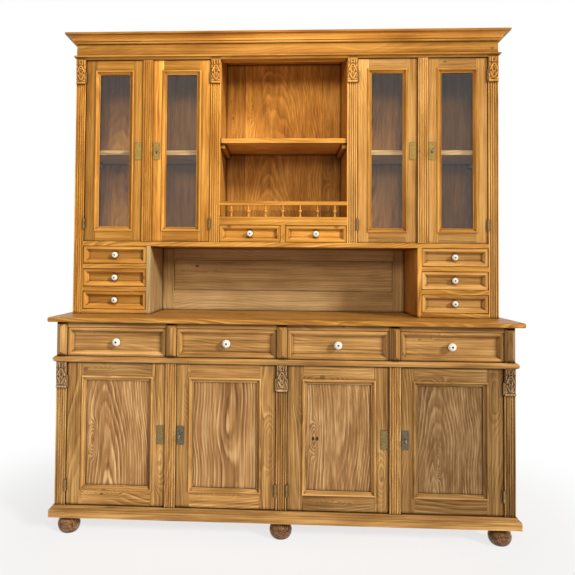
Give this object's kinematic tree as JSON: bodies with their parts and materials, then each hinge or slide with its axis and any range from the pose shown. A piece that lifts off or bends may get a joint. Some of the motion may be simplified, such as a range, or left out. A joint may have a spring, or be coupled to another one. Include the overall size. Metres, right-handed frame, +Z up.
{
  "type": "kitchen cupboard",
  "caption": "Two-stage pine kitchen cupboard: panelled doors and drawers below a worktop, glazed hutch with small drawers, open bay and gallery above, on bun feet.",
  "frame": {"origin": "on the floor under the middle of the bounding box", "axes": "+X to the viewer's right, -Y out of the front, +Z up"},
  "size_m": [1.936, 0.523, 2.14],
  "materials": {
    "golden_pine": "waxed pine, golden orange, satin",
    "brown_pine": "waxed pine, warm brown, satin",
    "dark_pine": "dark stained and waxed turned pine",
    "porcelain": "white glazed porcelain, opaque",
    "clear_glass": "clear sheet glass",
    "brass": "dull aged brass",
    "steel": "dark worn steel"
  },
  "bodies": {
    "carcass": {"hinge_pins": "brass", "bun_feet": "dark_pine", "plinth": "brown_pine", "base_carcass": "brown_pine", "string_course": "brown_pine", "base_pilasters": "brown_pine", "worktop": "brown_pine", "hutch_carcass": "golden_pine", "hutch_pilasters": "golden_pine", "gallery": "golden_pine", "back_panels": "golden_pine", "cornice": "golden_pine"},
    "base_door_1": {"base_door_1": "brown_pine"},
    "base_door_2": {"base_door_2": "brown_pine", "base_door_2_lock": "brass"},
    "base_door_2_bolt": {"base_door_2_bolt": "steel"},
    "base_door_2_key": {"base_door_2_key": "steel"},
    "hutch_door_1": {"hutch_door_1": "golden_pine", "hutch_door_1_glass": "clear_glass"},
    "hutch_door_2": {"hutch_door_2": "golden_pine", "hutch_door_2_glass": "clear_glass", "hutch_door_2_lock": "brass"},
    "hutch_door_2_bolt": {"hutch_door_2_bolt": "steel"},
    "hutch_door_2_key": {"hutch_door_2_key": "steel"},
    "base_door_3": {"base_door_3": "brown_pine"},
    "base_door_4": {"base_door_4": "brown_pine", "base_door_4_lock": "brass"},
    "base_door_4_bolt": {"base_door_4_bolt": "steel"},
    "base_door_4_key": {"base_door_4_key": "steel"},
    "hutch_door_3": {"hutch_door_3": "golden_pine", "hutch_door_3_glass": "clear_glass"},
    "hutch_door_4": {"hutch_door_4": "golden_pine", "hutch_door_4_glass": "clear_glass", "hutch_door_4_lock": "brass"},
    "hutch_door_4_bolt": {"hutch_door_4_bolt": "steel"},
    "hutch_door_4_key": {"hutch_door_4_key": "steel"},
    "base_drawer_1": {"base_drawer_1": "brown_pine", "base_drawer_1_knob": "porcelain"},
    "base_drawer_2": {"base_drawer_2": "brown_pine", "base_drawer_2_knob": "porcelain"},
    "base_drawer_3": {"base_drawer_3": "brown_pine", "base_drawer_3_knob": "porcelain"},
    "base_drawer_4": {"base_drawer_4": "brown_pine", "base_drawer_4_knob": "porcelain"},
    "left_drawer_1": {"left_drawer_1": "golden_pine", "left_drawer_1_knob": "porcelain"},
    "left_drawer_2": {"left_drawer_2": "golden_pine", "left_drawer_2_knob": "porcelain"},
    "left_drawer_3": {"left_drawer_3": "golden_pine", "left_drawer_3_knob": "porcelain"},
    "centre_drawer_left": {"centre_drawer_left": "golden_pine", "centre_drawer_left_knob": "porcelain"},
    "right_drawer_1": {"right_drawer_1": "golden_pine", "right_drawer_1_knob": "porcelain"},
    "right_drawer_2": {"right_drawer_2": "golden_pine", "right_drawer_2_knob": "porcelain"},
    "right_drawer_3": {"right_drawer_3": "golden_pine", "right_drawer_3_knob": "porcelain"},
    "centre_drawer_right": {"centre_drawer_right": "golden_pine", "centre_drawer_right_knob": "porcelain"}
  },
  "joints": [
    {"name": "base_door_2_key_turn", "type": "hinge", "parent": "base_door_2", "child": "base_door_2_key", "pos_m": [-0.41275, -0.2235, 0.42], "axis": [0, -1, 0], "range_deg": [0, 180]},
    {"name": "base_door_2_bolt_slide", "type": "slide", "parent": "base_door_2", "child": "base_door_2_bolt", "axis": [-1, 0, 0], "range_m": [0, 0.009]},
    {"name": "base_door_1_swing", "type": "hinge", "parent": "carcass", "child": "base_door_1", "pos_m": [-0.8857, -0.2283, 0.421], "axis": [0, 0, -1], "range_deg": [0, 110]},
    {"name": "base_door_2_swing", "type": "hinge", "parent": "carcass", "child": "base_door_2", "pos_m": [-0.0228, -0.2283, 0.421], "axis": [0, 0, 1], "range_deg": [0, 90]},
    {"name": "hutch_door_2_key_turn", "type": "hinge", "parent": "hutch_door_2", "child": "hutch_door_2_key", "pos_m": [-0.5615, -0.0475, 1.619], "axis": [0, -1, 0], "range_deg": [0, 180]},
    {"name": "hutch_door_2_bolt_slide", "type": "slide", "parent": "hutch_door_2", "child": "hutch_door_2_bolt", "axis": [-1, 0, 0], "range_m": [0, 0.009]},
    {"name": "hutch_door_1_swing", "type": "hinge", "parent": "carcass", "child": "hutch_door_1", "pos_m": [-0.8827, -0.0523, 1.623], "axis": [0, 0, -1], "range_deg": [0, 110]},
    {"name": "hutch_door_2_swing", "type": "hinge", "parent": "carcass", "child": "hutch_door_2", "pos_m": [-0.3223, -0.0523, 1.623], "axis": [0, 0, 1], "range_deg": [0, 90]},
    {"name": "base_door_4_key_turn", "type": "hinge", "parent": "base_door_4", "child": "base_door_4_key", "pos_m": [0.49575, -0.2235, 0.42], "axis": [0, -1, 0], "range_deg": [0, 180]},
    {"name": "base_door_4_bolt_slide", "type": "slide", "parent": "base_door_4", "child": "base_door_4_bolt", "axis": [-1, 0, 0], "range_m": [0, 0.009]},
    {"name": "base_door_3_swing", "type": "hinge", "parent": "carcass", "child": "base_door_3", "pos_m": [0.0228, -0.2283, 0.421], "axis": [0, 0, -1], "range_deg": [0, 90]},
    {"name": "base_door_4_swing", "type": "hinge", "parent": "carcass", "child": "base_door_4", "pos_m": [0.8857, -0.2283, 0.421], "axis": [0, 0, 1], "range_deg": [0, 110]},
    {"name": "hutch_door_4_key_turn", "type": "hinge", "parent": "hutch_door_4", "child": "hutch_door_4_key", "pos_m": [0.6435, -0.0475, 1.619], "axis": [0, -1, 0], "range_deg": [0, 180]},
    {"name": "hutch_door_4_bolt_slide", "type": "slide", "parent": "hutch_door_4", "child": "hutch_door_4_bolt", "axis": [-1, 0, 0], "range_m": [0, 0.009]},
    {"name": "hutch_door_3_swing", "type": "hinge", "parent": "carcass", "child": "hutch_door_3", "pos_m": [0.3223, -0.0523, 1.623], "axis": [0, 0, -1], "range_deg": [0, 90]},
    {"name": "hutch_door_4_swing", "type": "hinge", "parent": "carcass", "child": "hutch_door_4", "pos_m": [0.8827, -0.0523, 1.623], "axis": [0, 0, 1], "range_deg": [0, 110]},
    {"name": "base_drawer_1_slide", "type": "slide", "parent": "carcass", "child": "base_drawer_1", "axis": [0, -1, 0], "range_m": [0, 0.3045]},
    {"name": "base_drawer_2_slide", "type": "slide", "parent": "carcass", "child": "base_drawer_2", "axis": [0, -1, 0], "range_m": [0, 0.3045]},
    {"name": "base_drawer_3_slide", "type": "slide", "parent": "carcass", "child": "base_drawer_3", "axis": [0, -1, 0], "range_m": [0, 0.3045]},
    {"name": "base_drawer_4_slide", "type": "slide", "parent": "carcass", "child": "base_drawer_4", "axis": [0, -1, 0], "range_m": [0, 0.3045]},
    {"name": "left_drawer_1_slide", "type": "slide", "parent": "carcass", "child": "left_drawer_1", "axis": [0, -1, 0], "range_m": [0, 0.1813]},
    {"name": "left_drawer_2_slide", "type": "slide", "parent": "carcass", "child": "left_drawer_2", "axis": [0, -1, 0], "range_m": [0, 0.1813]},
    {"name": "left_drawer_3_slide", "type": "slide", "parent": "carcass", "child": "left_drawer_3", "axis": [0, -1, 0], "range_m": [0, 0.1813]},
    {"name": "centre_drawer_left_slide", "type": "slide", "parent": "carcass", "child": "centre_drawer_left", "axis": [0, -1, 0], "range_m": [0, 0.1813]},
    {"name": "right_drawer_1_slide", "type": "slide", "parent": "carcass", "child": "right_drawer_1", "axis": [0, -1, 0], "range_m": [0, 0.1813]},
    {"name": "right_drawer_2_slide", "type": "slide", "parent": "carcass", "child": "right_drawer_2", "axis": [0, -1, 0], "range_m": [0, 0.1813]},
    {"name": "right_drawer_3_slide", "type": "slide", "parent": "carcass", "child": "right_drawer_3", "axis": [0, -1, 0], "range_m": [0, 0.1813]},
    {"name": "centre_drawer_right_slide", "type": "slide", "parent": "carcass", "child": "centre_drawer_right", "axis": [0, -1, 0], "range_m": [0, 0.1813]}
  ],
  "couplings": [
    {"joint": "base_door_2_key_turn", "follows": "base_door_2_bolt_slide", "rad_per_m": 349.06},
    {"joint": "hutch_door_2_key_turn", "follows": "hutch_door_2_bolt_slide", "rad_per_m": 349.06},
    {"joint": "base_door_4_key_turn", "follows": "base_door_4_bolt_slide", "rad_per_m": 349.06},
    {"joint": "hutch_door_4_key_turn", "follows": "hutch_door_4_bolt_slide", "rad_per_m": 349.06}
  ]
}
